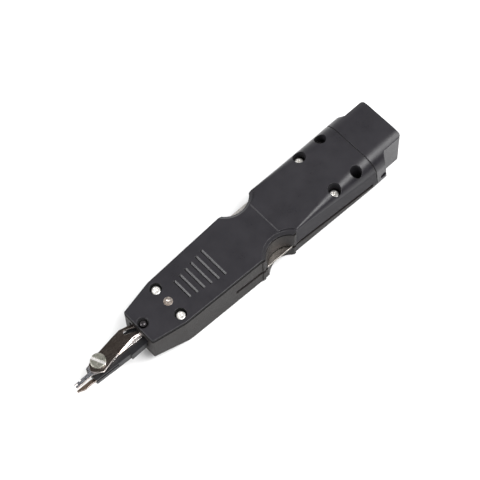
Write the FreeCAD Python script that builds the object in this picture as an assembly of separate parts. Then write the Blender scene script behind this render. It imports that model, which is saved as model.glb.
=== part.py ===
import FreeCAD, Part
import math
import os

# Punch down tool for telecom terminal blocks.
# Frame: +X towards the working tip, +Y towards the release blade's side, +Z up.
# The tool lies on its flat underside, and the origin is the middle of its footprint.

# ---------------------------------------------------------------- driving dimensions, mm
TIP_X = 95.0
REAR_X = -95.0
FRONT_X = 57.15            # front face of the case
SEAM_X = -74.3             # joint between the handle and the end cap
STEP_X = -19.3             # straight part of the line where the handle rises
SHELL_END_X = -25.5        # the front's flat sides end here and the rounded handle begins

FRONT_TOP = 22.8
HANDLE_TOP = 23.3
WALL = 1.8
COVER_Z = FRONT_TOP - WALL  # underside of the front cover plate

NOSE_HALF = 9.6            # half width of the case at its front face
SHOULDER_X = 40.0
CHIN_X = 37.5              # the underside starts to rise here
SHOULDER_HALF = 13.1
WAIST_X = -4.0
WAIST_HALF = 14.7
CHIN_Z = 4.6               # height of the underside at the front face
FACE_LEAN = 0.45           # how far the front face leans forward towards its foot
CORNER_R = 0.8
RIM_R = 0.4                # rounding of the cover's upper rim
RIM_GROOVE = (0.5, 0.8)  # height and depth of the parting groove under the rim

# Handle: half width, half width of the flat top and foot radius, at its front and at the seam.
HANDLE_HALF = (14.6, 16.6)
HANDLE_CREASE = (14.0, 8.3)
HANDLE_FOOT_R = (1.2, 3.0)
HANDLE_STATIONS = 9
STEP_RUN = 0.5             # length of the slope at the front of the raised top

# Finger scallops, one on each side.
SCALLOP_X = -14.9
SCALLOP_Y = 21.4
SCALLOP_R = 11.1
SCALLOP_FOOT_X = -16.3     # the walls lean, so the foot is a smaller circle further back
SCALLOP_FOOT_R = 10.0
SCALLOP_BEVEL = 1.35       # width of the bevel round the upper rim
SCALLOP_BEVEL_DEPTH = 1.1
RAISED_X = -17.2           # centre and radius of the arc that bounds the raised handle top
RAISED_Y = 20.0
RAISED_R = 10.9

# Fold-out tools: layer heights and pivots.
PIVOT_X = -66.5
PIVOT_Y = 11.8
TOOL_T = 1.2
BLADE_Z = 5.1              # underside of the release blade before its layer is tilted
BLADE_TILT = -3.6          # degrees about Y
HOOK_Z = 13.4              # underside of the wire hook
SLIT_GAP = 0.4
SLIT_GAP_ABOVE = 0.8
BLADE_SLIT_X = 10.5
HOOK_SLIT_X = 6.0
SLIT_REAR_X = -75.0
SHANK_IN_Y = 13.1          # inner edge of each tool's narrow shank
SHANK_OUT_Y = 14.7
PIN_R = 1.5
PIN_FOOT_Z = 2.6
TOOL_RING_R = 3.4
RUN_FIT = 0.05             # radial clearance of a running fit
PIVOT_HOLE_R = 2.9
NEAR_PIVOT_FLOOR_Z = 11.0
FAR_PIVOT_FLOOR_Z = 15.8

# Case screws.
FRONT_SCREW_X, FRONT_SCREW_Y = 39.3, 8.3
REAR_SCREW_X, REAR_SCREW_Y = -52.75, 11.6
FRONT_SCREW_HOLE_R = 2.85
REAR_SCREW_HOLE_R = 3.2
SCREW_HEAD_R = 2.4
SCREW_HEAD_H = 2.0
SCREW_SHANK_R = 1.0
FRONT_SEAT_Z = 19.0
REAR_SEAT_Z = 16.05
BOSS_R = 2.0

# Moving nose: layers from the bottom up.
STROKE = 7.5
NOSE_Z0, NOSE_Z1 = 9.5, 14.4
NOSE_FRONT_X = 85.5
NOSE_STEP_X = 66.4
NOSE_NECK_X = 50.5
NOSE_GUIDE_HALF = 5.25      # half width of the part that is guided in the mouth
MOUTH_STEP_Z = 14.6        # the mouth is wider above this, for the lever
NOSE_REAR_X = 33.0
PLATE_T = 1.2
SCISSOR_ROOT_Z = 12.3
SCISSOR_RISE = 0.75
LEVER_Z = 15.8
PIVOT_PT = (79.5, -2.0)
CUTTER_TURN = math.radians(13.0)
CAM_X = 54.3
CAM_R = 1.0
CAM_GAP = 0.05
CAM_SEAT_Z = FRONT_TOP - 1.3
CAM_DOME_R = 2.2
BUSH_R = 2.4
BUSH_FLAT = 1.9
PIVOT_SCREW_R = 1.5
PIVOT_HEAD_R = 3.65
PIVOT_HEAD_Z = LEVER_Z + PLATE_T + 0.15
PIVOT_HEAD_H = 1.35
GUIDE_X = FRONT_SCREW_X
GUIDE_R = 1.5

# Plunger and spring.
ROD_Z = 0.5 * (NOSE_Z0 + NOSE_Z1)
ROD_R = 2.0
ROD_REAR_X = -19.0
SEAT_FACE_X = -11.0
BULKHEAD_X0, BULKHEAD_X1 = -16.0, -13.0
SPRING_R = 3.3
WIRE_R = 0.45
SPRING_TURNS = 11

# Grip grooves.
GROOVES = 6
GROOVE_FIRST_X = 31.5
GROOVE_PITCH = 3.77
GROOVE_LENGTH = 1.5
GROOVE_DEPTH = 0.95
GROOVE_HALF_FIRST, GROOVE_HALF_LAST = 5.3, 8.15

# End cap.
CAP_FLAT_Y = 12.9
CAP_FLAT_X = -86.3         # at the foot
CAP_LEAN = 0.12            # how far the notch's end wall and the seam shift forward per mm of height
CAP_FLARE_X = -82.9        # at the foot
CAP_REAR_R = (1.6, 0.9)    # at the top and at the foot
SEAM_GROOVE = (0.5, 0.4)   # width and depth of the groove at the seam
CAP_WALL = 2.0
LANYARD_X = -81.0
LANYARD_Z = 6.6
LANYARD_R = 2.0

UP = FreeCAD.Vector(0, 0, 1)
ALONG = FreeCAD.Vector(1, 0, 0)
ACROSS = FreeCAD.Vector(0, 1, 0)


# ---------------------------------------------------------------- small helpers
def vec(x, y, z=0.0):
    return FreeCAD.Vector(x, y, z)


def box(x0, x1, y0, y1, z0, z1):
    return Part.makeBox(x1 - x0, y1 - y0, z1 - z0, vec(x0, y0, z0))


def post(x, y, z0, z1, r):
    """Upright cylinder."""
    return Part.makeCylinder(r, z1 - z0, vec(x, y, z0), UP)


def bar(x0, x1, r, y=0.0, z=ROD_Z):
    """Cylinder along X."""
    return Part.makeCylinder(r, x1 - x0, vec(x0, y, z), ALONG)


def prism(points, z0, z1):
    """Upright prism over a closed outline of (x, y) points."""
    ring = [vec(x, y, z0) for x, y in points]
    face = Part.Face(Part.makePolygon(ring + ring[:1]))
    return face.extrude(vec(0, 0, z1 - z0))


def side_prism(points, y0, y1):
    """Prism across the tool over a closed outline of (x, z) points."""
    ring = [vec(x, y0, z) for x, z in points]
    face = Part.Face(Part.makePolygon(ring + ring[:1]))
    return face.extrude(vec(0, y1 - y0, 0))


def tilted(shape):
    """A copy turned into the release blade's plane, which rises towards the tip."""
    turned = shape.copy()
    turned.rotate(vec(PIVOT_X, 0.0, HANDLE_TOP), ACROSS, BLADE_TILT)
    return turned


def mirrored(shape):
    return shape.mirror(vec(0, 0, 0), ACROSS)


def both_sides(shape):
    return [shape, mirrored(shape)]


def fused(shapes):
    return shapes[0].multiFuse(shapes[1:]).removeSplitter()


def less(shape, cutters):
    for cutter in cutters:
        shape = shape.cut(cutter)
    return shape


def edges_where(shape, test):
    return [e for e in shape.Edges if test(e)]


def upright(edge):
    first, last = edge.Vertexes[0].Point, edge.Vertexes[-1].Point
    flat = math.hypot(first.x - last.x, first.y - last.y)
    return flat < 1e-3 and abs(first.z - last.z) > 1e-3


# ---------------------------------------------------------------- outer form of the case
def front_outline(inset=0.0):
    """Half outline of the flat-sided front, from its front face back to the handle."""
    return [
        (FRONT_X - inset, NOSE_HALF - inset),
        (SHOULDER_X, SHOULDER_HALF - inset),
        (WAIST_X, WAIST_HALF - inset),
        (SHELL_END_X, WAIST_HALF - inset),
    ]


def front_block(inset=0.0, top=FRONT_TOP):
    """Flat-sided front of the case, with the underside rising to the chin."""
    half = front_outline(inset)
    half[0] = (half[0][0] + FACE_LEAN, half[0][1])
    outline = half + [(x, -y) for x, y in reversed(half)]
    block = prism(outline, inset, top)
    chin_slope = CHIN_Z / (FRONT_X - CHIN_X)
    chin = [
        (CHIN_X, inset),
        (FRONT_X + 1.0, inset + chin_slope * (FRONT_X + 1.0 - CHIN_X)),
        (FRONT_X + 1.0, -2.0),
        (CHIN_X, -2.0),
    ]
    face = [
        (FRONT_X + FACE_LEAN - inset, CHIN_Z),
        (FRONT_X + 2.0, CHIN_Z),
        (FRONT_X + 2.0, FRONT_TOP + 1.0),
        (FRONT_X - inset, FRONT_TOP + 1.0),
    ]
    return less(block, [side_prism(chin, -20.0, 20.0), side_prism(face, -20.0, 20.0)])


def handle_section(share, inset=0.0):
    """Closed handle section: flat top, round shoulders, straight sides, small foot radii.

    share runs from 0 at the handle's front to 1 at the seam.
    """
    x = SHELL_END_X + (SEAM_X - SHELL_END_X) * share
    full = HANDLE_HALF[0] + (HANDLE_HALF[1] - HANDLE_HALF[0]) * share
    narrowing = 1.0 - (1.0 - share) ** 1.3
    crease = HANDLE_CREASE[0] + (HANDLE_CREASE[1] - HANDLE_CREASE[0]) * narrowing
    half = full - inset
    crease *= half / full
    top = HANDLE_TOP - inset
    radius = half - crease
    foot_r = HANDLE_FOOT_R[0] + (HANDLE_FOOT_R[1] - HANDLE_FOOT_R[0]) * share
    foot_r = max(foot_r - inset, 0.5)
    short = 1.0 - math.sqrt(0.5)

    run = [
        (crease, top),
        (half - radius * short, top - radius * short),
        (half, top - radius),
        (half, inset + foot_r),
        (half - foot_r * short, inset + foot_r * short),
        (half - foot_r, inset),
    ]
    near = [vec(x, y, z) for y, z in run]
    far = [vec(x, -y, z) for y, z in reversed(run)]
    edges = [
        Part.Arc(near[0], near[1], near[2]), Part.LineSegment(near[2], near[3]),
        Part.Arc(near[3], near[4], near[5]), Part.LineSegment(near[5], far[0]),
        Part.Arc(far[0], far[1], far[2]), Part.LineSegment(far[2], far[3]),
        Part.Arc(far[3], far[4], far[5]), Part.LineSegment(far[5], near[0]),
    ]
    return Part.Wire([edge.toShape() for edge in edges])


def handle_loft(inset=0.0):
    shares = [i / (HANDLE_STATIONS - 1.0) for i in range(HANDLE_STATIONS)]
    return Part.makeLoft([handle_section(share, inset) for share in shares], True, True)


def cap_block(inset, x_front, x_rear):
    """Cap form with the handle's rear section, pulled in by inset."""
    section = Part.Face(handle_section(1.0, inset))
    section.translate(vec(x_front - SEAM_X, 0, 0))
    return section.extrude(vec(x_rear - x_front, 0, 0))


def behind_seam(gap=0.0):
    """Space behind the leaning seam, starting gap further to the rear."""
    high, low = HANDLE_TOP + 1.0, -1.0
    outline = [
        (SEAM_X - gap + CAP_LEAN * (high - HANDLE_TOP), high),
        (REAR_X - 2.0, high),
        (REAR_X - 2.0, low),
        (SEAM_X - gap + CAP_LEAN * (low - HANDLE_TOP), low),
    ]
    return side_prism(outline, -20.0, 20.0)


def scallop_round(grow=0.0):
    """One finger scallop as an upright round cutter."""
    foot = Part.makeCircle(SCALLOP_FOOT_R + grow, vec(SCALLOP_FOOT_X, SCALLOP_Y, -1.0), UP)
    head = Part.makeCircle(SCALLOP_R + grow, vec(SCALLOP_X, SCALLOP_Y, HANDLE_TOP + 1.0), UP)
    return Part.makeLoft([Part.Wire([foot]), Part.Wire([head])], True, True)


def scallop_bevel():
    """Bevel round a scallop's upper rim."""
    foot_z = FRONT_TOP - SCALLOP_BEVEL_DEPTH
    top_r = SCALLOP_R + 2.0 * SCALLOP_BEVEL
    place = vec(SCALLOP_X, SCALLOP_Y, foot_z)
    return Part.makeCone(SCALLOP_R, top_r, 2.0 * SCALLOP_BEVEL_DEPTH, place, UP)


def case_body():
    """Solid outer form of front and handle together, scallops cut."""
    front = front_block()
    corner_edges = edges_where(
        front, lambda e: min(v.Point.x for v in e.Vertexes) > FRONT_X - 0.1 and not across(e)
    )
    front = front.makeFillet(CORNER_R, corner_edges)
    low = edges_where(front, lambda e: side_low_edge(e))
    front = front.makeFillet(CORNER_R, low)
    front = front.makeFillet(RIM_R, edges_where(front, lambda e: upper_rim_edge(e)))
    raised = box(SHELL_END_X, STEP_X, -WAIST_HALF, WAIST_HALF, FRONT_TOP - 1.0, HANDLE_TOP)
    tail = cap_block(0.0, SEAM_X, SEAM_X - 4.0)
    whole = fused([front, raised, fused([handle_loft(), tail])])
    whole = less(whole, [behind_seam()] + both_sides(raised_arc_post(FRONT_TOP)))
    pads = [pad for x0 in (-25.2, -6.2) for pad in both_sides(scallop_lip(x0))]
    whole = fused([whole] + pads)
    return less(whole, both_sides(scallop_round()))


def across(edge):
    """True for an edge that runs straight across the tool."""
    first, last = edge.Vertexes[0].Point, edge.Vertexes[-1].Point
    return abs(first.x - last.x) < 1e-3 and abs(first.z - last.z) < 1e-3


def side_low_edge(edge):
    """True for the long edges where the flat sides meet the underside."""
    first, last = edge.Vertexes[0].Point, edge.Vertexes[-1].Point
    low = max(first.z, last.z) < CHIN_Z + 0.5
    long_way = abs(first.x - last.x) > 2.0
    at_side = min(abs(first.y), abs(last.y)) > NOSE_HALF - 2.0
    return low and long_way and at_side


def upper_rim_edge(edge):
    """True for the edges round the flat front's top, without the one hidden in the handle."""
    points = [vertex.Point for vertex in edge.Vertexes]
    high = min(point.z for point in points) > FRONT_TOP - 0.01
    hidden = max(point.x for point in points) < SHELL_END_X + 0.1
    return high and not hidden


def scallop_lip(x0):
    """Raised upright lip on the side beside a scallop."""
    return box(x0, x0 + 1.6, WAIST_HALF - 1.0, WAIST_HALF + 0.4, 0.5, COVER_Z - 0.4)


def case_cavity():
    """Room inside the case, with a wall left all round and behind each scallop."""
    front = front_block(WALL, COVER_Z)
    handle = handle_loft(WALL)
    back = box(SHELL_END_X - 3.0, SHELL_END_X + 1.0, -12.0, 12.0, WALL, COVER_Z)
    tail = cap_block(WALL, SEAM_X, SEAM_X - 5.0)
    room = fused([front, handle, tail, back])
    return less(room, both_sides(scallop_round(WALL)))


def raised_arc_post(z0):
    """Upright cylinder whose wall bounds the raised handle top beside a scallop."""
    return post(RAISED_X, RAISED_Y, z0, HANDLE_TOP + 1.0, RAISED_R)


def handle_zone():
    """Space of the rear cover's roof: behind the step line and between the two arcs."""
    roof = box(SHELL_END_X - 1.0, STEP_X, -20.0, 20.0, COVER_Z, HANDLE_TOP + 1.0)
    return less(roof, both_sides(raised_arc_post(COVER_Z - 10.0)))


def rear_zone():
    """Space of the rear cover's upper half, down to each side's parting line."""
    near = tilted(box(SEAM_X - 9.0, SHELL_END_X + 5.0, 0.0, 20.0, BLADE_Z + 0.6, HANDLE_TOP + 9.0))
    near = near.common(box(SEAM_X - 5.0, SHELL_END_X, 0.0, 20.0, 0.0, HANDLE_TOP + 1.0))
    far = box(SEAM_X - 5.0, SHELL_END_X, -20.0, 0.0, HOOK_Z + 0.6, HANDLE_TOP + 1.0)
    return fused([near, far])


def front_cover_zone():
    """Space of the front cover: the plate's layer with the raised handle left out."""
    layer = box(SHELL_END_X, TIP_X, -20.0, 20.0, COVER_Z, HANDLE_TOP + 1.0)
    return layer.cut(handle_zone())


# ---------------------------------------------------------------- fold-out tools: plan forms
def slit_region(z, front_x):
    """Space swept by a fold-out tool on the +Y side, cut from walls and bosses."""
    z0, z1 = z - SLIT_GAP, z + TOOL_T + SLIT_GAP_ABOVE
    wide = box(-45.8, front_x, 7.4, 20.0, z0, z1)
    narrow = box(SLIT_REAR_X, -45.0, SHANK_IN_Y - 0.2, 20.0, z0, z1)
    ring = post(PIVOT_X, PIVOT_Y, z0, z1, TOOL_RING_R + 0.5)
    return fused([wide, narrow, ring])


def tool_shank(z):
    """Ring round the pivot and the narrow shank that passes outside the screw boss."""
    ring = post(PIVOT_X, PIVOT_Y, z, z + TOOL_T, TOOL_RING_R)
    outline = [
        (PIVOT_X, SHANK_IN_Y),
        (-46.0, SHANK_IN_Y),
        (-44.0, SHANK_IN_Y - 2.0),
        (-44.0, SHANK_OUT_Y - 0.4),
        (-56.0, SHANK_OUT_Y),
        (PIVOT_X, SHANK_OUT_Y + 0.2),
    ]
    return fused([ring, prism(outline, z, z + TOOL_T)])


def pivot_eye(z):
    return post(PIVOT_X, PIVOT_Y, z - 1.0, z + TOOL_T + 1.0, PIN_R + RUN_FIT)


def release_blade():
    """Flat spudger blade folded into the near side, with a bevelled working end."""
    z = BLADE_Z
    outline = [
        (-44.5, SHANK_IN_Y - 2.6),
        (-41.0, 8.0),
        (3.0, 8.0),
        (9.8, 10.6),
        (9.8, 12.0),
        (8.6, 13.1),
        (-3.6, 13.1),
        (-5.6, 14.1),
        (-20.0, 14.3),
        (-30.0, 14.2),
        (-44.5, SHANK_OUT_Y - 0.4),
    ]
    blade = fused([tool_shank(z), prism(outline, z, z + TOOL_T)])
    bevel = side_prism([(6.5, z + TOOL_T), (10.5, z + TOOL_T), (10.5, z + 0.35)], 5.0, 16.0)
    nail = box(-9.5, -6.5, 12.9, 15.0, z + TOOL_T - 0.35, z + 2.0)
    return tilted(less(blade, [pivot_eye(z), bevel, nail]))


def wire_hook():
    """Narrow steel strip folded into the far side, ending in a hook for pulling wires."""
    z = HOOK_Z
    outline = [
        (-44.5, SHANK_IN_Y - 1.8),
        (4.0, 12.4),
        (5.2, 13.4),
        (4.6, 14.6),
        (-20.0, 14.5),
        (-27.0, 14.2),
        (-44.5, SHANK_OUT_Y - 0.4),
    ]
    strip = fused([tool_shank(z), prism(outline, z, z + TOOL_T)])
    throat = post(1.6, 14.3, z - 1.0, z + 3.0, 0.95)
    mouth = box(-0.6, 1.6, 13.9, 16.0, z - 1.0, z + 3.0)
    return mirrored(less(strip, [pivot_eye(z), throat, mouth]))


# ---------------------------------------------------------------- case parts
def lower_shell():
    """Floor and walls, with guides for the nose, bulkhead, bosses and tool slits."""
    low = case_body().cut(case_cavity())
    low = less(low, [front_cover_zone(), handle_zone(), rear_zone()])
    rail_in_y = NOSE_GUIDE_HALF + 0.1
    rails = both_sides(box(NOSE_NECK_X + 0.3, FRONT_X - 1.5, rail_in_y, 7.6, WALL, NOSE_Z1 - 0.1))
    platform = box(NOSE_REAR_X + 1.0, FRONT_X - 1.5, -4.2, 4.2, 1.0, NOSE_Z0 - 0.1)
    bulkhead = box(BULKHEAD_X0, BULKHEAD_X1, -9.0, 9.0, 1.0, COVER_Z - 0.1)
    bosses = both_sides(post(FRONT_SCREW_X, FRONT_SCREW_Y, 1.0, FRONT_SEAT_Z - 1.2, 2.7))
    bosses += both_sides(post(REAR_SCREW_X, REAR_SCREW_Y, 1.0, REAR_SEAT_Z - 2.0, BOSS_R))
    bosses.append(tilted(post(PIVOT_X, PIVOT_Y, -4.0, BLADE_Z - SLIT_GAP, 3.9)))
    bosses.append(post(PIVOT_X, -PIVOT_Y, 1.0, HOOK_Z - SLIT_GAP, 3.9))
    inner = fused(bosses + rails + [platform, bulkhead])
    inner = inner.common(case_body()).cut(rear_zone())
    low = fused([low, inner])
    mouth = box(FRONT_X - 3.0, FRONT_X + 1.0, -rail_in_y, rail_in_y, NOSE_Z0 - 0.1, MOUTH_STEP_Z)
    upper = box(FRONT_X - 3.0, FRONT_X + 1.0, -6.3, 6.3, MOUTH_STEP_Z, LEVER_Z + PLATE_T + 0.6)
    cutters = [mouth, upper, tilted(slit_region(BLADE_Z, BLADE_SLIT_X))]
    cutters.append(mirrored(slit_region(HOOK_Z, HOOK_SLIT_X)))
    cutters += both_sides(post(FRONT_SCREW_X, FRONT_SCREW_Y, 4.0, 24.0, SCREW_SHANK_R))
    cutters += both_sides(post(REAR_SCREW_X, REAR_SCREW_Y, 3.0, 24.0, SCREW_SHANK_R))
    cutters.append(tilted(post(PIVOT_X, PIVOT_Y, PIN_FOOT_Z, 24.0, PIN_R)))
    cutters.append(post(PIVOT_X, -PIVOT_Y, PIN_FOOT_Z, 24.0, PIN_R))
    cutters.append(post(GUIDE_X, 0.0, 3.0, 24.0, GUIDE_R))
    cutters.append(bar(BULKHEAD_X0 - 1.0, BULKHEAD_X1 + 1.0, 3.2))
    return less(low, cutters)


def grip_groove(index):
    """One grip groove: deepest towards the tip, its floor ramping up to the cover's top."""
    x0 = GROOVE_FIRST_X - GROOVE_PITCH * index
    share = index / (GROOVES - 1.0)
    half = GROOVE_HALF_FIRST + (GROOVE_HALF_LAST - GROOVE_HALF_FIRST) * share
    wedge = [
        (x0, FRONT_TOP + 0.1),
        (x0, FRONT_TOP - GROOVE_DEPTH),
        (x0 - GROOVE_LENGTH, FRONT_TOP),
        (x0 - GROOVE_LENGTH, FRONT_TOP + 0.1),
    ]
    return side_prism(wedge, -half, half)


def rim_groove():
    """Thin step under the cover's rim that shows as the parting line."""
    height, depth = RIM_GROOVE
    half = front_outline(depth)
    kept = prism(half + [(x, -y) for x, y in reversed(half)], COVER_Z, COVER_Z + height)
    kept = less(kept, both_sides(scallop_round(depth)))
    return box(SHELL_END_X, TIP_X, -20.0, 20.0, COVER_Z, COVER_Z + height).cut(kept)


def front_cover():
    """Flat cover plate with grip grooves, screw bosses and the cam pin recess."""
    plate = case_body().common(front_cover_zone())
    bosses = both_sides(post(FRONT_SCREW_X, FRONT_SCREW_Y, FRONT_SEAT_Z - 1.2, COVER_Z, 3.6))
    bosses.append(post(CAM_X, 0.0, LEVER_Z + PLATE_T + 0.4, COVER_Z, 2.1))
    bosses = [boss.common(case_cavity()) for boss in bosses]
    plate = fused([plate] + bosses)
    cutters = both_sides(scallop_bevel()) + [rim_groove()]
    cutters += [grip_groove(i) for i in range(GROOVES)]
    cutters += both_sides(post(FRONT_SCREW_X, FRONT_SCREW_Y, FRONT_SEAT_Z, 24.0, FRONT_SCREW_HOLE_R))
    cutters += both_sides(post(FRONT_SCREW_X, FRONT_SCREW_Y, 10.0, 24.0, SCREW_SHANK_R))
    cutters.append(post(CAM_X, 0.0, CAM_SEAT_Z, 24.0, 2.3))
    cutters.append(Part.makeCone(2.3, 3.3, 1.0, vec(CAM_X, 0.0, FRONT_TOP - 0.6), UP))
    cutters.append(post(CAM_X, 0.0, 10.0, 24.0, CAM_R))
    cutters.append(post(GUIDE_X, 0.0, 10.0, 24.0, GUIDE_R))
    cutters.append(post(GUIDE_X, 0.0, FRONT_TOP - 1.0, 24.0, 2.15))
    return less(plate, cutters)


def rear_cover():
    """Upper half of the handle, with deep screw holes and pivot pin holes."""
    shell = case_body().cut(case_cavity())
    cover = shell.common(fused([rear_zone(), handle_zone()]))
    bosses = both_sides(post(REAR_SCREW_X, REAR_SCREW_Y, REAR_SEAT_Z - 1.2, 24.0, 4.0))
    bosses += both_sides(post(REAR_SCREW_X, REAR_SCREW_Y, 2.0, 20.0, BOSS_R))
    bosses.append(tilted(post(PIVOT_X, PIVOT_Y, BLADE_Z + TOOL_T + SLIT_GAP_ABOVE, 28.0, 3.9)))
    bosses.append(post(PIVOT_X, -PIVOT_Y, HOOK_Z + TOOL_T + SLIT_GAP_ABOVE, 24.0, 3.9))
    inner = fused(bosses).common(case_body())
    cover = fused([cover, inner.common(rear_zone())])
    cutters = [tilted(slit_region(BLADE_Z, BLADE_SLIT_X)), step_slope()]
    cutters.append(mirrored(slit_region(HOOK_Z, HOOK_SLIT_X)))
    cutters += both_sides(post(REAR_SCREW_X, REAR_SCREW_Y, REAR_SEAT_Z, 26.0, REAR_SCREW_HOLE_R))
    cutters += both_sides(post(REAR_SCREW_X, REAR_SCREW_Y, 2.0, 26.0, SCREW_SHANK_R))
    cutters.append(tilted(post(PIVOT_X, PIVOT_Y, NEAR_PIVOT_FLOOR_Z, 26.0, PIVOT_HOLE_R)))
    cutters.append(post(PIVOT_X, -PIVOT_Y, FAR_PIVOT_FLOOR_Z, 26.0, PIVOT_HOLE_R))
    cutters.append(tilted(post(PIVOT_X, PIVOT_Y, 2.0, 26.0, PIN_R)))
    cutters.append(post(PIVOT_X, -PIVOT_Y, 2.0, 26.0, PIN_R))
    return less(cover, cutters)


def step_slope():
    """Slope at the front of the raised handle top."""
    wedge = [(STEP_X + 0.1, FRONT_TOP), (STEP_X, FRONT_TOP), (STEP_X - STEP_RUN, HANDLE_TOP),
             (STEP_X - STEP_RUN, HANDLE_TOP + 0.5), (STEP_X + 0.1, HANDLE_TOP + 0.5)]
    return side_prism(wedge, -12.0, 12.0)


def cap_side_notch():
    """Cut beside the cap's neck: flat at the rear, flaring out to the full width."""
    z0, z1 = -1.0, HANDLE_TOP + 1.0
    shift = CAP_LEAN * z0
    low = vec(CAP_FLAT_X + shift, CAP_FLAT_Y, z0)
    high = vec(CAP_FLARE_X + shift, 19.0, z0)
    middle = vec(CAP_FLAT_X + 1.4 + shift, CAP_FLAT_Y + 1.3, z0)
    behind = REAR_X - 9.0
    edges = [
        Part.LineSegment(vec(behind, CAP_FLAT_Y, z0), low).toShape(),
        Part.Arc(low, middle, high).toShape(),
        Part.LineSegment(high, vec(behind, 19.0, z0)).toShape(),
        Part.LineSegment(vec(behind, 19.0, z0), vec(behind, CAP_FLAT_Y, z0)).toShape(),
    ]
    return Part.Face(Part.Wire(edges)).extrude(vec(CAP_LEAN * (z1 - z0), 0, z1 - z0))


def end_cap():
    """Hollow end cap with side notches, a spigot into the handle and a lanyard hole."""
    groove_w, groove_d = SEAM_GROOVE
    outer = cap_block(0.0, SEAM_X + 1.0, REAR_X).common(behind_seam(groove_w))
    outer = less(outer, both_sides(cap_side_notch()))
    for edge in edges_where(outer, lambda e: upright(e) and e.Vertexes[0].Point.x < REAR_X + 0.1):
        middle = edge.CenterOfMass
        first, last = edge.Vertexes[0].Point, edge.Vertexes[-1].Point
        top_r, foot_r = CAP_REAR_R
        pair = (top_r, foot_r) if first.z > last.z else (foot_r, top_r)
        live = edges_where(outer, lambda e: upright(e) and e.CenterOfMass.distanceToPoint(middle) < 1e-3)
        outer = outer.makeFillet(pair[0], pair[1], live)
    room = cap_block(CAP_WALL, SEAM_X + 2.0, REAR_X + CAP_WALL)
    notch = cap_side_notch()
    notch.translate(vec(CAP_WALL, -CAP_WALL, 0))
    room = less(room, both_sides(notch))
    tube = Part.makeCylinder(LANYARD_R + 1.4, 40.0, vec(LANYARD_X, -20.0, LANYARD_Z), ACROSS)
    shell = fused([outer.cut(room), tube.common(outer)])
    neck = cap_block(groove_d, SEAM_X + 1.0, SEAM_X - 4.0).common(behind_seam())
    collar = cap_block(WALL + 0.1, SEAM_X + 1.9, SEAM_X - 4.0)
    hollow = cap_block(WALL + 1.3, SEAM_X + 3.0, SEAM_X - 6.0)
    shell = fused([shell, neck.cut(hollow), collar.cut(hollow)])
    hole = Part.makeCylinder(LANYARD_R, 40.0, vec(LANYARD_X, -20.0, LANYARD_Z), ACROSS)
    return shell.cut(hole)


# ---------------------------------------------------------------- fasteners and pins
def case_screw(x, y, seat_z, foot_z):
    """Pan head screw with a cross recess."""
    head = post(x, y, seat_z, seat_z + SCREW_HEAD_H, SCREW_HEAD_R)
    rim = edges_where(head, lambda e: len(e.Vertexes) == 1 and e.Vertexes[0].Point.z > seat_z + 1.0)
    head = head.makeFillet(0.7, rim)
    shank = post(x, y, foot_z, seat_z, SCREW_SHANK_R)
    top = seat_z + SCREW_HEAD_H
    cross = [box(x - 1.2, x + 1.2, y - 0.3, y + 0.3, top - 0.9, top + 1.0)]
    cross.append(box(x - 0.3, x + 0.3, y - 1.2, y + 1.2, top - 0.9, top + 1.0))
    return less(fused([head, shank]), cross)


def front_case_screws():
    return Part.makeCompound(
        both_sides(case_screw(FRONT_SCREW_X, FRONT_SCREW_Y, FRONT_SEAT_Z, 4.5))
    )


def rear_case_screws():
    return Part.makeCompound(
        both_sides(case_screw(REAR_SCREW_X, REAR_SCREW_Y, REAR_SEAT_Z, 3.5))
    )


def pivot_pin(y, floor_z):
    """Domed pin that holds a fold-out tool, its head deep in the cover's hole."""
    head = post(PIVOT_X, y, floor_z, floor_z + 1.2, 2.3)
    rim = edges_where(
        head, lambda e: len(e.Vertexes) == 1 and e.Vertexes[0].Point.z > floor_z + 1.0
    )
    head = head.makeFillet(0.8, rim)
    return fused([head, post(PIVOT_X, y, PIN_FOOT_Z, floor_z, PIN_R)])


def blade_pivot_pin():
    return tilted(pivot_pin(PIVOT_Y, NEAR_PIVOT_FLOOR_Z))


def hook_pivot_pin():
    return pivot_pin(-PIVOT_Y, FAR_PIVOT_FLOOR_Z)


def friction_washer(y, tool_z):
    """Thin washer between a pivot boss and the tool's ring."""
    z0 = tool_z - SLIT_GAP
    disc = post(PIVOT_X, y, z0, tool_z - 0.05, 2.9)
    return disc.cut(post(PIVOT_X, y, z0 - 1.0, tool_z + 1.0, PIN_R))


def blade_friction_washer():
    return tilted(friction_washer(PIVOT_Y, BLADE_Z))


def hook_friction_washer():
    return friction_washer(-PIVOT_Y, HOOK_Z)


def cam_pin():
    """Fixed domed pin that runs in the lever's slot."""
    dome = Part.makeSphere(CAM_DOME_R, vec(CAM_X, 0.0, FRONT_TOP + 0.1 - CAM_DOME_R))
    head = dome.common(post(CAM_X, 0.0, CAM_SEAT_Z, FRONT_TOP + 1.0, 2.0))
    return fused([head, post(CAM_X, 0.0, LEVER_Z + 0.1, CAM_SEAT_Z, CAM_R)])


def guide_rivet():
    """Rivet between the front screws; its shank stops the nose block's stroke."""
    head = post(GUIDE_X, 0.0, FRONT_TOP - 1.0, FRONT_TOP - 0.05, 2.15)
    dimple = Part.makeCone(0.0, 0.9, 0.5, vec(GUIDE_X, 0.0, FRONT_TOP - 0.5), UP)
    shank = post(GUIDE_X, 0.0, 3.4, FRONT_TOP - 1.0, GUIDE_R)
    return fused([head, shank]).cut(dimple)


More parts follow.
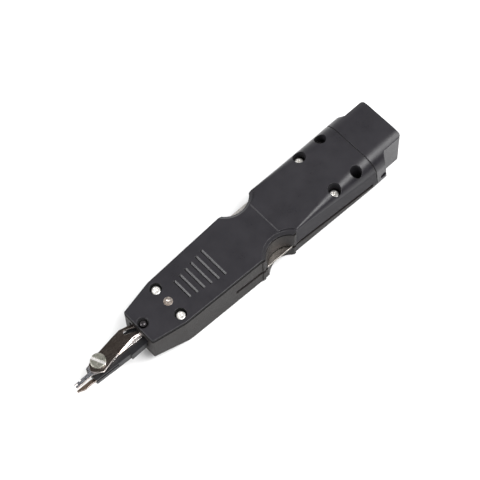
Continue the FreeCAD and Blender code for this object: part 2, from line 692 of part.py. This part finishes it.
# ---------------------------------------------------------------- moving nose
def nose_block():
    """Plastic carrier that slides in the mouth and holds the blades and the plunger rod."""
    outline = [
        (NOSE_FRONT_X, 2.9),
        (NOSE_FRONT_X - 0.5, 3.25),
        (NOSE_STEP_X, 4.4),
        (NOSE_STEP_X, NOSE_GUIDE_HALF),
        (NOSE_NECK_X, NOSE_GUIDE_HALF),
        (NOSE_NECK_X, 4.9),
        (NOSE_REAR_X, 4.9),
        (NOSE_REAR_X, -4.9),
        (NOSE_NECK_X, -4.9),
        (NOSE_NECK_X, -NOSE_GUIDE_HALF),
        (NOSE_STEP_X, -NOSE_GUIDE_HALF),
        (PIVOT_PT[0], -5.0),
        (NOSE_FRONT_X - 0.8, -4.3),
        (NOSE_FRONT_X, -3.8),
    ]
    block = prism(outline, NOSE_Z0, NOSE_Z1)
    slot_front = GUIDE_X + STROKE
    reach = GUIDE_R + 0.1
    slot = fused([
        post(GUIDE_X, 0.0, 0.0, 20.0, reach),
        post(slot_front, 0.0, 0.0, 20.0, reach),
        box(GUIDE_X, slot_front, -reach, reach, 0.0, 20.0),
    ])
    px, py = PIVOT_PT
    z0, z1 = SCISSOR_ROOT_Z - 0.15, SCISSOR_ROOT_Z + PLATE_T + 0.15
    pocket = prism([(73.0, -6.0), (86.0, -6.0), (86.0, 6.0), (73.0, 6.0)], z0, z1)
    cutters = [slot, pocket, post(px, py, z0, 20.0, BUSH_R + 0.1)]
    cutters.append(post(px, py, 0.0, 20.0, PIVOT_SCREW_R))
    cutters.append(hexagon(px, py, 0.0, NOSE_Z0 + 1.5, 2.6))
    cutters.append(bar(NOSE_REAR_X - 1.0, NOSE_REAR_X + 4.0, ROD_R))
    return less(block, cutters)


def hexagon(x, y, z0, z1, across_half):
    """Upright hexagonal prism, given half its width across flats."""
    r = across_half / math.cos(math.pi / 6)
    angles = [math.pi / 3 * i for i in range(6)]
    return prism([(x + r * math.cos(a), y + r * math.sin(a)) for a in angles], z0, z1)


def pivot_nut():
    px, py = PIVOT_PT
    nut = hexagon(px, py, NOSE_Z0, NOSE_Z0 + 1.5, 2.6)
    return nut.cut(post(px, py, 0.0, 20.0, PIVOT_SCREW_R))


def pivot_screw():
    """Big slotted screw on which the cutter turns."""
    px, py = PIVOT_PT
    top = PIVOT_HEAD_Z + PIVOT_HEAD_H
    head = post(px, py, PIVOT_HEAD_Z, top, PIVOT_HEAD_R)
    rim = edges_where(head, lambda e: len(e.Vertexes) == 1 and e.Vertexes[0].Point.z > top - 0.1)
    head = head.makeFillet(0.45, rim)
    shank = post(px, py, NOSE_Z0 - 0.3, PIVOT_HEAD_Z, PIVOT_SCREW_R)
    slot = box(px - 0.6, px + 0.6, py - 5.0, py + 5.0, top - 0.75, top + 1.0)
    slot.rotate(vec(px, py), UP, 24.0)
    return fused([head, shank]).cut(slot)


def double_d(z0, z1, grow=0.0):
    """Round bar with two flats that keys the cutter's two plates together."""
    px, py = PIVOT_PT
    r, flat = BUSH_R + grow, BUSH_FLAT + grow
    return post(px, py, z0, z1, r).common(box(px - flat, px + flat, py - 5.0, py + 5.0, z0, z1))


def pivot_bush():
    """Bush that turns on the screw and carries scissor blade and lever."""
    px, py = PIVOT_PT
    z0, z1 = SCISSOR_ROOT_Z, LEVER_Z + PLATE_T
    ring = fused([double_d(z0, z1), post(px, py, SCISSOR_ROOT_Z + PLATE_T, LEVER_Z, BUSH_R)])
    return ring.cut(post(px, py, 0.0, 30.0, PIVOT_SCREW_R + RUN_FIT))


def insertion_blade():
    """Flat blade on the nose block; its forked prong seats the wire."""
    px, py = PIVOT_PT
    z0 = NOSE_Z1
    outline = [
        (50.8, 1.6),
        (57.0, 2.2),
        (71.0, 1.4),
        (76.0, 2.2),
        (82.5, 1.9),
        (85.4, 0.5),
        (94.4, 0.5),
        (94.4, -1.5),
        (86.0, -1.6),
        (84.6, -3.6),
        (76.0, -4.7),
        (67.0, -4.4),
        (64.2, -1.0),
        (61.0, 0.2),
        (50.8, 0.3),
    ]
    plate = prism(outline, z0, z0 + PLATE_T)
    fork = box(92.9, 96.0, -1.05, -0.5, z0 - 1.0, z0 + 3.0)
    nick = box(90.6, 91.5, -2.0, -1.0, z0 - 1.0, z0 + 3.0)
    bore = post(px, py, z0 - 1.0, z0 + 3.0, BUSH_R + RUN_FIT)
    pins = post(68.0, -1.4, z0 - 1.0, z0 + 3.0, 0.8)
    return less(plate, [fork, nick, bore, pins])


def blade_dowel():
    """Dowel that keeps the insertion blade from turning on the nose block."""
    return post(68.0, -1.4, NOSE_Z1, NOSE_Z1 + PLATE_T, 0.8)


def cam_path(push):
    """Place of the cam pin's centre in the resting lever when the nose is in by push."""
    px, py = PIVOT_PT
    turn = CUTTER_TURN * push / STROKE
    dx, dy = CAM_X - px + push, -py
    x = px + dx * math.cos(turn) - dy * math.sin(turn)
    y = py + dx * math.sin(turn) + dy * math.cos(turn)
    return x, y


def cam_slot():
    """Slot that the pin's path needs, made of overlapping posts and links."""
    z0, z1 = LEVER_Z - 1.0, LEVER_Z + PLATE_T + 1.0
    reach = CAM_R + CAM_GAP
    steps = 10
    path = [cam_path(STROKE * i / steps) for i in range(steps + 1)]
    pieces = [post(x, y, z0, z1, reach) for x, y in path]
    for (x0, y0), (x1, y1) in zip(path, path[1:]):
        length = math.hypot(x1 - x0, y1 - y0)
        nx, ny = -(y1 - y0) / length * reach, (x1 - x0) / length * reach
        outline = [(x0 + nx, y0 + ny), (x1 + nx, y1 + ny), (x1 - nx, y1 - ny), (x0 - nx, y0 - ny)]
        pieces.append(prism(outline, z0, z1))
    return fused(pieces)


def cutter_lever():
    """Polished plate whose slot runs on the cam pin and so turns the cutter."""
    z0, z1 = LEVER_Z, LEVER_Z + PLATE_T
    px, py = PIVOT_PT
    outline = [
        (80.6, 3.2),
        (71.3, 1.4),
        (60.5, -0.1),
        (57.6, 0.5),
        (55.2, 2.3),
        (CAM_X, 2.4),
        (52.6, 1.7),
        (51.9, 0.0),
        (52.6, -1.7),
        (CAM_X, -3.0),
        (58.6, -5.6),
        (63.2, -6.9),
        (68.0, -6.4),
        (76.0, -5.3),
        (80.0, -5.3),
        (83.4, -3.9),
        (85.0, -0.9),
        (84.2, 0.4),
        (82.2, 2.3),
    ]
    plate = prism(outline, z0, z1)
    return less(plate, [cam_slot(), double_d(z0 - 1.0, z1 + 1.0)])


def scissor_blade():
    """Shearing blade under the insertion blade, stepped up in front of the nose block."""
    z0 = SCISSOR_ROOT_Z
    rise = SCISSOR_RISE
    strip = [
        (75.0, z0),
        (86.2, z0),
        (87.4, z0 + rise),
        (96.0, z0 + rise),
        (96.0, z0 + rise + PLATE_T),
        (87.0, z0 + rise + PLATE_T),
        (85.8, z0 + PLATE_T),
        (75.0, z0 + PLATE_T),
    ]
    outline = [
        (82.6, 2.95),
        (91.8, 2.95),
        (TIP_X, 1.6),
        (TIP_X, 1.1),
        (94.2, 0.9),
        (85.4, 1.3),
        (83.6, -1.2),
        (82.2, -4.0),
        (79.5, -4.8),
        (77.4, -4.6),
        (76.0, -3.4),
        (76.0, -0.2),
        (79.0, 2.4),
    ]
    plan = prism(outline, z0 - 1.0, z0 + 4.0)
    blade = side_prism(strip, -8.0, 8.0).common(plan)
    return blade.cut(double_d(z0 - 1.0, z0 + 4.0))


def plunger_rod():
    """Steel rod pressed into the nose block; it guides the return spring."""
    rod = bar(ROD_REAR_X, NOSE_REAR_X + 4.0, ROD_R)
    groove_x = BULKHEAD_X0 - 0.9
    groove = bar(groove_x - 0.3, groove_x + 0.3, ROD_R).cut(bar(groove_x - 1.0, groove_x + 1.0, 1.5))
    return rod.cut(groove)


def retaining_clip():
    """Clip in the rod's groove that keeps the rod from pulling out of the bulkhead."""
    x = BULKHEAD_X0 - 0.9
    disc = bar(x - 0.28, x + 0.28, 3.6)
    gap = box(x - 1.0, x + 1.0, -1.1, 1.1, ROD_Z, ROD_Z + 6.0)
    return less(disc, [bar(x - 1.0, x + 1.0, 1.55), gap])


def spring_seat():
    """Flanged bush in the bulkhead: the rod runs in it and the spring rests on it."""
    flange = bar(BULKHEAD_X1, SEAT_FACE_X, 4.6)
    sleeve = bar(BULKHEAD_X0, BULKHEAD_X1, 3.2)
    bore = bar(BULKHEAD_X0 - 1.0, SEAT_FACE_X + 1.0, ROD_R + RUN_FIT)
    return fused([flange, sleeve]).cut(bore)


def return_spring():
    """Compression spring between the spring seat and the nose block."""
    length = NOSE_REAR_X - SEAT_FACE_X - 2.0 * WIRE_R - 0.1
    start = SEAT_FACE_X + WIRE_R + 0.05
    helix = Part.makeHelix(length / SPRING_TURNS, length, SPRING_R)
    ring = Part.Wire(Part.makeCircle(WIRE_R, vec(SPRING_R, 0, 0), ACROSS))
    coil = Part.Wire(helix.Edges).makePipeShell([ring], True, True)
    coil.rotate(vec(0, 0), ACROSS, 90.0)
    coil.translate(vec(start, 0, ROD_Z))
    return coil


# ---------------------------------------------------------------- export
PARTS = [
    front_cover, rear_cover, lower_shell, end_cap,
    front_case_screws, rear_case_screws, cam_pin, guide_rivet,
    blade_pivot_pin, hook_pivot_pin, blade_friction_washer, hook_friction_washer,
    spring_seat, return_spring, plunger_rod, retaining_clip,
    nose_block, pivot_nut, pivot_screw, insertion_blade, blade_dowel,
    pivot_bush, cutter_lever, scissor_blade, release_blade, wire_hook,
]

os.makedirs("parts", exist_ok=True)
for make in PARTS:
    shape = make()
    shape.exportStep("parts/%s.step" % make.__name__)
    print("%-24s solids %d valid %s volume %.1f" % (
        make.__name__, len(shape.Solids), shape.isValid(), shape.Volume))
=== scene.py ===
import bpy
import math
from mathutils import Matrix, Vector


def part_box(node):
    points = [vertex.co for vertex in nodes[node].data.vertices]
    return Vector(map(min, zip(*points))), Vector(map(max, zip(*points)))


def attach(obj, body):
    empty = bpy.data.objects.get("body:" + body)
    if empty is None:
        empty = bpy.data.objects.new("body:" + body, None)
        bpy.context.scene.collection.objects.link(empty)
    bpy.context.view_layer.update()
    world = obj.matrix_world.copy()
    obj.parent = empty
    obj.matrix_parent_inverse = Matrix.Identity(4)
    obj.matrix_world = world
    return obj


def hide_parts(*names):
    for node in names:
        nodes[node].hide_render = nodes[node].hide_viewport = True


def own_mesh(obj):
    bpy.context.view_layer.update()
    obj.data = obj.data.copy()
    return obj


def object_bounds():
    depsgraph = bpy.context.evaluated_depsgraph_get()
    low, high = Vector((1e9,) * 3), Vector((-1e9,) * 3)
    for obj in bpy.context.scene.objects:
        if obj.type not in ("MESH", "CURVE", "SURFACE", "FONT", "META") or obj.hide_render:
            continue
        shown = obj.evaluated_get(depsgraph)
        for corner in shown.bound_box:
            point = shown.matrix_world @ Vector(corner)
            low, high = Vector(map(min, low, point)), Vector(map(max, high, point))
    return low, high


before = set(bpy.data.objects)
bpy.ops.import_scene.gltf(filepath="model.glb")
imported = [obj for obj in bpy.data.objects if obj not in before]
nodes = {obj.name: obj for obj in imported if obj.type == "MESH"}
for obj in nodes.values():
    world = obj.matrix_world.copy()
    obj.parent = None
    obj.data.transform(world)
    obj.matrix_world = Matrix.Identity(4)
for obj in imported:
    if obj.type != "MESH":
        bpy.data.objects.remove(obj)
cad_low, cad_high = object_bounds()
scene = bpy.context.scene
scene.view_settings.view_transform = "Standard"


def colour(r, g, b):
    return (r, g, b, 1.0)


def grey(level):
    return colour(level, level, level)


# ---------------------------------------------------------------- node material helpers
class Graph:
    """A node material under construction, with short calls for what the materials here use."""

    def __init__(self, name):
        self.material = bpy.data.materials.new(name)
        self.material.use_nodes = True
        self.tree = self.material.node_tree
        self.tree.nodes.clear()
        self.out = self.node("ShaderNodeOutputMaterial")
        self.shader = self.node("ShaderNodeBsdfPrincipled")
        self.link(self.shader.outputs[0], self.out.inputs["Surface"])
        self.coords = self.node("ShaderNodeTexCoord").outputs["Object"]

    def node(self, kind, **props):
        made = self.tree.nodes.new(kind)
        for key, value in props.items():
            setattr(made, key, value)
        return made

    def link(self, a, b):
        self.tree.links.new(a, b)

    def put(self, socket, value):
        if isinstance(value, bpy.types.NodeSocket):
            self.link(value, socket)
        else:
            socket.default_value = value

    def scaled(self, scale):
        mapping = self.node("ShaderNodeMapping")
        self.link(self.coords, mapping.inputs["Vector"])
        mapping.inputs["Scale"].default_value = scale
        return mapping.outputs[0]

    def noise(self, scale, detail=3.0, rough=0.55, stretch=(1, 1, 1)):
        noise = self.node("ShaderNodeTexNoise")
        self.link(self.scaled(stretch), noise.inputs["Vector"])
        noise.inputs["Scale"].default_value = scale
        noise.inputs["Detail"].default_value = detail
        noise.inputs["Roughness"].default_value = rough
        return noise.outputs[0]

    def span(self, value, low, high, to_low=0.0, to_high=1.0, smooth=False):
        spread = self.node("ShaderNodeMapRange")
        spread.interpolation_type = "SMOOTHSTEP" if smooth else "LINEAR"
        spread.clamp = True
        self.link(value, spread.inputs[0])
        for i, number in enumerate((low, high, to_low, to_high)):
            spread.inputs[i + 1].default_value = number
        return spread.outputs[0]

    def math(self, operation, a, b=0.0):
        made = self.node("ShaderNodeMath", operation=operation)
        self.put(made.inputs[0], a)
        self.put(made.inputs[1], b)
        return made.outputs[0]

    def mix(self, factor, a, b):
        made = self.node("ShaderNodeMix", data_type="RGBA")
        self.put(made.inputs[0], factor)
        self.put(made.inputs[6], a)
        self.put(made.inputs[7], b)
        return made.outputs[2]

    def bump(self, height, strength, distance, normal):
        made = self.node("ShaderNodeBump")
        made.inputs["Strength"].default_value = strength
        made.inputs["Distance"].default_value = distance
        self.link(height, made.inputs["Height"])
        self.link(normal, made.inputs["Normal"])
        return made.outputs[0]

    def soft_edges(self, radius):
        """Normals as if every edge were rounded to this radius, and a mask that is 1 on edges."""
        bevel = self.node("ShaderNodeBevel", samples=6)
        bevel.inputs["Radius"].default_value = radius
        plain = self.node("ShaderNodeNewGeometry").outputs["Normal"]
        dot = self.node("ShaderNodeVectorMath", operation="DOT_PRODUCT")
        self.link(bevel.outputs[0], dot.inputs[0])
        self.link(plain, dot.inputs[1])
        mask = self.span(dot.outputs["Value"], 0.72, 0.99, 1.0, 0.0)
        return bevel.outputs[0], mask

    def crevice(self, distance):
        """0 in the open, 1 deep in gaps and holes; the mask for the painted shade there."""
        shade = self.node("ShaderNodeAmbientOcclusion", samples=8)
        shade.inputs["Distance"].default_value = distance
        return self.span(shade.outputs["AO"], 0.25, 0.75, 1.0, 0.0)

    def upright_faces(self, steep=0.35, flat=0.6):
        """1 on faces that stand upright, 0 on flat ones."""
        split = self.node("ShaderNodeSeparateXYZ")
        self.link(self.node("ShaderNodeNewGeometry").outputs["True Normal"], split.inputs[0])
        return self.span(self.math("ABSOLUTE", split.outputs["Z"]), steep, flat, 1.0, 0.0)

    def below(self, level, soft=0.0001, axis="Z"):
        """1 under the given position along an axis, 0 above it."""
        split = self.node("ShaderNodeSeparateXYZ")
        self.link(self.coords, split.inputs[0])
        return self.span(split.outputs[axis], level - soft, level + soft, 1.0, 0.0)

    def done(self, **constants):
        for key, value in constants.items():
            self.put(self.shader.inputs[key.replace("_", " ")], value)
        return self.material


# ---------------------------------------------------------------- materials
GAP_REACH = 0.0016          # gaps narrower than about this get painted shade, in metres
# near-black colour of the painted shade in gaps, holes and along the rim band
PAINTED_GAP_SHADE = grey(0.003)
SHADE_BAND_FACES = (0.45, 0.85)    # how upright a face has to be to get the painted shade band along the rim, see upright_faces
SIDE_FACES = (0.12, 0.55)   # the same for the sides of a cover
WORN_FADE = 0.0015          # half the length over which a worn tip fades into the rest
SOOT = colour(0.05, 0.048, 0.046)


def moulded_plastic(name, dark, light, edge_tint, rough=0.36, grain=2600.0, edge_radius=0.0003,
                    shine=0.38, shade_band_from=None, matt_sides=0.0):
    """Black moulded plastic: fine spark texture, faint mottling, slightly polished edges.

    Upright faces above shade_band_from get painted shade, a dark band standing for the shadow in the
    parting line. matt_sides is the least roughness of upright faces.
    """
    g = Graph(name)
    rounded, edges = g.soft_edges(edge_radius)
    fine = g.noise(grain, 2.0, 0.6)
    cloud = g.noise(90.0, 4.0, 0.6)
    speck = g.noise(700.0, 2.0, 0.5)
    tone = g.mix(g.span(cloud, 0.35, 0.65), dark, light)
    worn = g.math("MULTIPLY", edges, g.span(speck, 0.35, 0.6, 0.45, 1.0))
    tone = g.mix(worn, tone, edge_tint)
    shaded = g.crevice(GAP_REACH)
    # painted shade: a dark band on upright faces near the parting line, where its shadow falls
    if shade_band_from is not None:
        high = g.math("SUBTRACT", 1.0, g.below(shade_band_from))
        rim = g.math("MULTIPLY", g.upright_faces(*SHADE_BAND_FACES), high)
        shaded = g.math("MAXIMUM", shaded, rim)
    # painted shade: gaps, holes and the rim band are darkened towards near black
    tone = g.mix(shaded, tone, PAINTED_GAP_SHADE)
    patchy = g.span(cloud, 0.3, 0.7, rough - 0.04, rough + 0.04)
    roughness = g.math("ADD", g.span(fine, 0.3, 0.7, -0.07, 0.07), patchy)
    roughness = g.math("SUBTRACT", roughness, g.math("MULTIPLY", worn, 0.12))
    roughness = g.math("MAXIMUM", roughness, shaded)
    if matt_sides > 0.0:
        matt = g.math("MULTIPLY", g.upright_faces(*SIDE_FACES), matt_sides)
        roughness = g.math("MAXIMUM", roughness, matt)
    height = g.math("ADD", fine, g.math("MULTIPLY", speck, 0.6))
    normal = g.bump(height, 0.35, 0.00005, rounded)
    return g.done(Base_Color=tone, Roughness=roughness, Normal=normal, IOR=1.5,
                  Specular_IOR_Level=shine)


def brushed_metal(name, dark, light, rough, stretch, edge_tint, edge_radius=0.0002, stain=None,
                  side=None, worn_from=None):
    """Ground steel: long fine scratches, uneven tone, bright edges that are partly real wear and partly a
    painted highlight.

    Upright faces take the colour side, a painted highlight standing for the light these faces catch, and
    what lies behind worn_from along X is sooty.
    """
    g = Graph(name)
    rounded, edges = g.soft_edges(edge_radius)
    grind = g.noise(1.0, 4.0, 0.65, stretch)
    cloud = g.noise(160.0, 4.0, 0.6)
    tone = g.mix(g.span(grind, 0.3, 0.7), dark, light)
    if stain is not None:
        tone = g.mix(g.span(cloud, 0.5, 0.72, 0.0, 0.7), tone, stain)
    if worn_from is not None:
        sooty = g.mix(g.span(grind, 0.35, 0.65), SOOT, dark)
        tone = g.mix(g.below(worn_from, WORN_FADE, "X"), sooty, tone)
    # painted highlight: upright faces made lighter, as lit sides
    if side is not None:
        tone = g.mix(g.upright_faces(), tone, side)
    # edges lightened: partly real wear, partly a painted edge highlight
    tone = g.mix(edges, tone, edge_tint)
    patchy = g.span(cloud, 0.3, 0.7, rough - 0.05, rough + 0.07)
    roughness = g.math("ADD", g.span(grind, 0.25, 0.75, -0.1, 0.1), patchy)
    normal = g.bump(grind, 0.2, 0.00003, rounded)
    return g.done(Base_Color=tone, Roughness=roughness, Normal=normal, Metallic=1.0)


def zinc_plate(name, dark, light, rough, edge_radius, low=None):
    """Bright zinc plating: fine crystalline mottling and small dents."""
    g = Graph(name)
    rounded, edges = g.soft_edges(edge_radius)
    mottle = g.noise(1400.0, 3.0, 0.6)
    cloud = g.noise(420.0, 3.0, 0.6)
    tone = g.mix(g.span(mottle, 0.3, 0.7), dark, light)
    if low is not None:
        tone = g.mix(g.below(low), tone, colour(0.98, 0.96, 0.94))
    tone = g.mix(g.math("MULTIPLY", edges, 0.7), tone, colour(0.95, 0.94, 0.92))
    roughness = g.span(cloud, 0.3, 0.7, rough - 0.08, rough + 0.1)
    normal = g.bump(g.math("ADD", mottle, cloud), 0.3, 0.00004, rounded)
    return g.done(Base_Color=tone, Roughness=roughness, Normal=normal, Metallic=1.0)


PLATE_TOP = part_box("front_cover")[1][2]
CASE_SHADE_BAND = 0.0023           # upright case faces higher than this under PLATE_TOP are painted dark, as shade in the parting line
COVER_SHADE_BAND = 0.0030          # the same for the front cover's own edge
BLACK = colour(0.0085, 0.0076, 0.0105), colour(0.012, 0.0108, 0.0142), colour(0.04, 0.038, 0.042)
CASE = moulded_plastic("case_black", colour(0.0125, 0.0108, 0.0105), colour(0.019, 0.0165, 0.016),
                       colour(0.04, 0.037, 0.036), rough=0.42, shine=0.09,
                       shade_band_from=PLATE_TOP - CASE_SHADE_BAND)
CAP = moulded_plastic("cover_black", *BLACK)
HANDLE = moulded_plastic("rear_cover_black", *BLACK, shine=0.40, matt_sides=0.78)
PLATE = moulded_plastic("front_plate_black", *BLACK, shade_band_from=PLATE_TOP - COVER_SHADE_BAND)
NOSE = moulded_plastic("nose_black", colour(0.012, 0.012, 0.013), colour(0.018, 0.018, 0.02),
                       colour(0.03, 0.03, 0.032), rough=0.40, grain=3200.0, edge_radius=0.00025,
                       shine=0.15)

SCREW_HEAD_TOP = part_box("pivot_screw")[1][2]
BRIGHT_UNDER = 0.0005       # the pivot screw is bright below this depth under its top
ZINC = zinc_plate("zinc_plate", colour(0.78, 0.76, 0.72), colour(0.98, 0.96, 0.93), rough=0.36,
                  edge_radius=0.0003)
SCREW = zinc_plate("pivot_screw_steel", colour(0.13, 0.15, 0.11), colour(0.48, 0.45, 0.41),
                   rough=0.30, edge_radius=0.0004, low=SCREW_HEAD_TOP - BRIGHT_UNDER)

TIP_WORN_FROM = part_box("pivot_screw")[1][0]
# the lever's flat faces are darkened as a painted dark reflection; its upright faces and edges are painted
# bright
LEVER = brushed_metal("lever_steel", colour(0.036, 0.029, 0.026), colour(0.095, 0.080, 0.070),
                      rough=0.30, stretch=(900, 5200, 5200), edge_radius=0.00022,
                      edge_tint=colour(0.85, 0.79, 0.75), stain=colour(0.03, 0.022, 0.018),
                      side=colour(0.97, 0.89, 0.85))
BLADE = brushed_metal("blade_steel", colour(0.35, 0.36, 0.40), colour(0.92, 0.86, 0.80),
                      rough=0.22, stretch=(700, 6000, 6000), edge_tint=colour(0.95, 0.91, 0.87),
                      stain=colour(0.75, 0.45, 0.25), side=colour(0.95, 0.87, 0.82),
                      worn_from=TIP_WORN_FROM)
SCISSOR = brushed_metal("scissor_steel", colour(0.10, 0.072, 0.056), colour(0.24, 0.185, 0.15),
                        rough=0.26, stretch=(700, 6000, 6000), edge_tint=colour(0.9, 0.8, 0.74),
                        stain=colour(0.05, 0.035, 0.028))
TOOL = brushed_metal("fold_out_steel", colour(0.16, 0.14, 0.125), colour(0.34, 0.31, 0.28),
                     rough=0.3, stretch=(500, 5200, 5200), edge_tint=colour(0.95, 0.92, 0.88),
                     stain=colour(0.12, 0.10, 0.08))
HOOK = brushed_metal("wire_hook_steel", colour(0.45, 0.43, 0.40), colour(0.72, 0.70, 0.67),
                     rough=0.3, stretch=(500, 5200, 5200), edge_tint=colour(0.95, 0.92, 0.88),
                     stain=colour(0.3, 0.27, 0.24))
DARK = brushed_metal("oiled_steel", colour(0.03, 0.028, 0.03), colour(0.07, 0.064, 0.066),
                     rough=0.28, stretch=(3000, 3000, 3000), edge_radius=0.0001,
                     edge_tint=colour(0.1, 0.1, 0.1))
RIVET = brushed_metal("rivet_steel", colour(0.11, 0.09, 0.075), colour(0.66, 0.60, 0.55),
                      rough=0.34, stretch=(1100, 1100, 1100), edge_radius=0.0003,
                      edge_tint=colour(0.75, 0.7, 0.66), stain=colour(0.2, 0.13, 0.09))

FINISH = {
    "front_cover": PLATE, "rear_cover": HANDLE, "lower_shell": CASE, "end_cap": CAP,
    "front_case_screws": ZINC, "rear_case_screws": ZINC, "cam_pin": DARK, "guide_rivet": RIVET,
    "blade_pivot_pin": DARK, "hook_pivot_pin": DARK,
    "blade_friction_washer": ZINC, "hook_friction_washer": ZINC,
    "spring_seat": NOSE, "return_spring": DARK, "plunger_rod": ZINC, "retaining_clip": DARK,
    "nose_block": NOSE, "pivot_nut": ZINC, "pivot_screw": SCREW, "insertion_blade": BLADE,
    "blade_dowel": BLADE, "pivot_bush": BLADE, "cutter_lever": LEVER, "scissor_blade": SCISSOR,
    "release_blade": TOOL, "wire_hook": HOOK,
}
for name, material in FINISH.items():
    mesh = nodes[name].data
    mesh.materials.clear()
    mesh.materials.append(material)


# ---------------------------------------------------------------- return spring as a wire coil
COIL_STEPS = 28             # steps in each turn of the coil
WIRE_SIDES = 10             # sides of the wire's section


def coil(name, start, end, centre, radius, wire, turns):
    """Round-wire spring along X, as one closed tube."""
    steps, sides = int(turns * COIL_STEPS), WIRE_SIDES
    pitch = (end - start) / (math.tau * turns)
    points, faces = [], []
    for i in range(steps + 1):
        angle = math.tau * turns * i / steps
        outward = Vector((0.0, math.cos(angle), math.sin(angle)))
        along = Vector((pitch, -radius * math.sin(angle), radius * math.cos(angle))).normalized()
        across = along.cross(outward)
        place = Vector((start + pitch * angle, centre.y, centre.z)) + radius * outward
        for k in range(sides):
            turn = math.tau * k / sides
            points.append(place + wire * (math.cos(turn) * outward + math.sin(turn) * across))
    for i in range(steps):
        for k in range(sides):
            a, b = i * sides + k, i * sides + (k + 1) % sides
            faces.append((a, b, b + sides, a + sides))
    faces.append(tuple(reversed(range(sides))))
    faces.append(tuple(range(steps * sides, (steps + 1) * sides)))
    mesh = bpy.data.meshes.new(name)
    mesh.from_pydata([tuple(point) for point in points], [], faces)
    mesh.polygons.foreach_set("use_smooth", [True] * len(mesh.polygons))
    mesh.materials.append(DARK)
    made = bpy.data.objects.new(name, mesh)
    scene.collection.objects.link(made)
    return made


SPRING_WIRE = 0.00045       # radius of the wire
SPRING_TURNS = 11
spring_low, spring_high = (Vector(corner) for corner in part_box("return_spring"))
spring_middle = 0.5 * (spring_low + spring_high)
spring_radius = 0.5 * (spring_high.y - spring_low.y) - SPRING_WIRE
spring = coil("return_spring_coil", spring_low.x + SPRING_WIRE, spring_high.x - SPRING_WIRE, spring_middle,
              spring_radius, SPRING_WIRE, SPRING_TURNS)
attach(spring, "case")
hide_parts("return_spring")
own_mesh(spring)


# ---------------------------------------------------------------- camera, floor and light
def look(location, forward, up):
    """Camera placement from its position and two directions."""
    back = -Vector(forward).normalized()
    right = Vector(up).cross(back).normalized()
    true_up = back.cross(right)
    turn = Matrix((right, true_up, back)).transposed().to_4x4()
    return Matrix.Translation(Vector(location)) @ turn


CAMERA_PLACE = (0.19095, 0.23377, 0.67075)
CAMERA_FORWARD = (-0.27259, -0.32617, -0.90516)
CAMERA_UP = (-0.62784, -0.65257, 0.42423)
camera = bpy.data.objects.new("camera", bpy.data.cameras.new("camera"))
scene.collection.objects.link(camera)
scene.camera = camera
camera.data.lens = 119.07
camera.data.sensor_width = 36.0
camera.data.clip_start = 0.05
camera.data.clip_end = 20.0
camera.matrix_world = look(CAMERA_PLACE, CAMERA_FORWARD, CAMERA_UP)

LAMP_DISTANCE = 1.3         # from the middle of the tool to each soft box


def area_light(name, toward, width, height, watts):
    """Soft box that looks at the middle of the tool from direction toward."""
    middle = 0.5 * (cad_low + cad_high)
    light = bpy.data.lights.new(name, "AREA")
    light.shape = "RECTANGLE"
    light.size, light.size_y = width, height
    light.energy = watts
    lamp = bpy.data.objects.new(name, light)
    scene.collection.objects.link(lamp)
    direction = Vector(toward).normalized()
    lamp.location = middle + direction * LAMP_DISTANCE
    lamp.rotation_mode = "QUATERNION"
    lamp.rotation_quaternion = direction.to_track_quat("Z", "Y")


area_light("near_side", (-0.27, 0.42, 0.86), width=0.80, height=0.72, watts=18.0)
area_light("tip_side", (0.74, -0.33, 0.59), width=0.55, height=0.45, watts=8.0)

FLOOR_HALF = 4.0            # half the floor's side
FLOOR_GAP = 0.00005         # keeps the floor clear of the tool's flat underside
floor_mesh = bpy.data.meshes.new("floor")
corners = [(x * FLOOR_HALF, y * FLOOR_HALF, 0.0) for x, y in ((-1, -1), (1, -1), (1, 1), (-1, 1))]
floor_mesh.from_pydata(corners, [], [(0, 1, 2, 3)])
floor = bpy.data.objects.new("floor", floor_mesh)
floor.location = (0, 0, cad_low.z - FLOOR_GAP)
scene.collection.objects.link(floor)
paper = Graph("pale_paper")
mottle = paper.noise(6.0, 2.0, 0.5)
paper_tone = paper.mix(mottle, grey(0.90), grey(0.93))
floor_mesh.materials.append(paper.done(Base_Color=paper_tone, Roughness=0.9))


class Sky(Graph):
    """The studio seen by the object: a vertical gradient with soft darker patches."""

    def __init__(self, name, zenith, horizon, below):
        self.world = bpy.data.worlds.new(name)
        self.world.use_nodes = True
        self.tree = self.world.node_tree
        self.tree.nodes.clear()
        self.out = self.node("ShaderNodeOutputWorld")
        self.shader = self.node("ShaderNodeBackground")
        self.link(self.shader.outputs[0], self.out.inputs["Surface"])
        self.coords = self.node("ShaderNodeTexCoord").outputs["Generated"]
        split = self.node("ShaderNodeSeparateXYZ")
        self.link(self.coords, split.inputs[0])
        height = split.outputs["Z"]
        tone = self.mix(self.span(height, 0.15, 0.75, smooth=True), grey(horizon), grey(zenith))
        self.tone = self.mix(self.span(height, -0.05, 0.02), grey(below), tone)

    def patch(self, toward, inner, outer, level):
        """Round patch of the given level round a direction, with radii in degrees."""
        dot = self.node("ShaderNodeVectorMath", operation="DOT_PRODUCT")
        self.link(self.coords, dot.inputs[0])
        dot.inputs[1].default_value = Vector(toward).normalized()
        low, high = math.cos(math.radians(outer)), math.cos(math.radians(inner))
        share = self.span(dot.outputs["Value"], low, high, smooth=True)
        self.tone = self.mix(share, self.tone, grey(level))

    def lit(self):
        self.link(self.tone, self.shader.inputs["Color"])
        return self.world


sky = Sky("studio", zenith=0.80, horizon=0.95, below=0.9)
sky.patch((-0.27, -0.33, 0.905), inner=10.0, outer=30.0, level=0.62)
sky.patch((-0.27, 0.93, 0.22), inner=16.0, outer=36.0, level=0.12)
scene.world = sky.lit()
